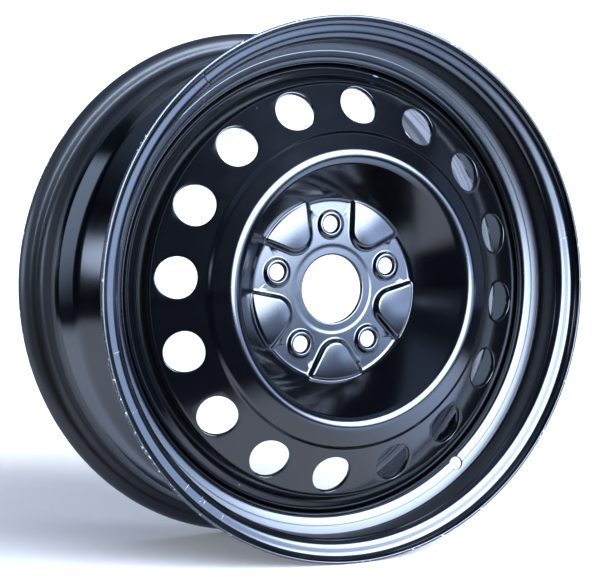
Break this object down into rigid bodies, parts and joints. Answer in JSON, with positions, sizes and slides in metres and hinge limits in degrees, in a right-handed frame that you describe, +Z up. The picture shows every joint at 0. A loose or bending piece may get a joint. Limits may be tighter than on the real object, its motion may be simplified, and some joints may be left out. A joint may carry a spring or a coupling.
{
  "type": "steel wheel rim",
  "caption": "Black pressed-steel car wheel: rolled drop-centre rim with a valve hole, welded to a dished disc with round vents, a centre bore, conical lug seats and raised pads.",
  "frame": {"origin": "centre of the wheel, on its spin axis at mid width", "axes": "spin axis along Y, outboard face to -Y, +Z up as the wheel stands, +X to the right seen from outboard"},
  "size_m": [0.4712, 0.1994, 0.471],
  "materials": {
    "rim_paint": "semi-gloss black paint",
    "disc_paint": "semi-gloss black paint",
    "weld_paint": "black paint over weld"
  },
  "bodies": {
    "root": {"rim": "rim_paint", "disc": "disc_paint", "weld_beads": "weld_paint"}
  },
  "joints": []
}
